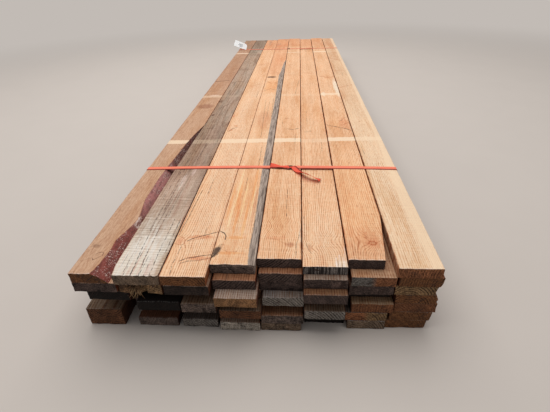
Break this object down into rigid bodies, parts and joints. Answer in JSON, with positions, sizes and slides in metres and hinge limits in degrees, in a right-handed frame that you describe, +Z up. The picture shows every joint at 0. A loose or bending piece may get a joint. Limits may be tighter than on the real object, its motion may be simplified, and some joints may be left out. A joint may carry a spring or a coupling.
{
  "type": "stack of fir boards",
  "caption": "Strapped stack of rough-sawn fir boards with ragged ends, a squared corner timber, two flat plastic straps with wire buckles and a blank card tag.",
  "frame": {"origin": "on the floor under the middle of the whole stack, its strap tag included", "axes": "+Y along the boards from the pictured near ends to the far ends, +X to the right across the boards, +Z up"},
  "size_m": [1.3032, 5.032, 0.4046],
  "materials": {
    "orange_fir": "rough sawn, fresh orange-tan with straight grain and saw marks",
    "tan_fir": "rough sawn, pale tan; the left board has dark red paint on its sloping side",
    "gray_fir": "rough sawn, weathered gray with cross saw marks",
    "aged_fir": "rough sawn, brown to gray-black weathered end grain",
    "orange_strap": "woven polyester, satin",
    "dark_wire": "dark coated wire",
    "white_card": "plain coated card, blank"
  },
  "bodies": {
    "root": {"top_board_1": "tan_fir", "top_board_2": "gray_fir", "top_board_3": "orange_fir", "top_board_4": "orange_fir", "top_board_5": "orange_fir", "top_board_6": "orange_fir", "top_board_7": "orange_fir", "top_board_8": "tan_fir", "layer_2": "aged_fir", "layer_3": "aged_fir", "layer_4": "aged_fir", "layer_5": "aged_fir", "layer_6": "aged_fir", "layer_7": "aged_fir", "corner_timber": "aged_fir", "front_strap": "orange_strap", "rear_strap": "orange_strap", "front_buckle": "dark_wire", "rear_buckle": "dark_wire", "tag": "white_card"}
  },
  "joints": []
}
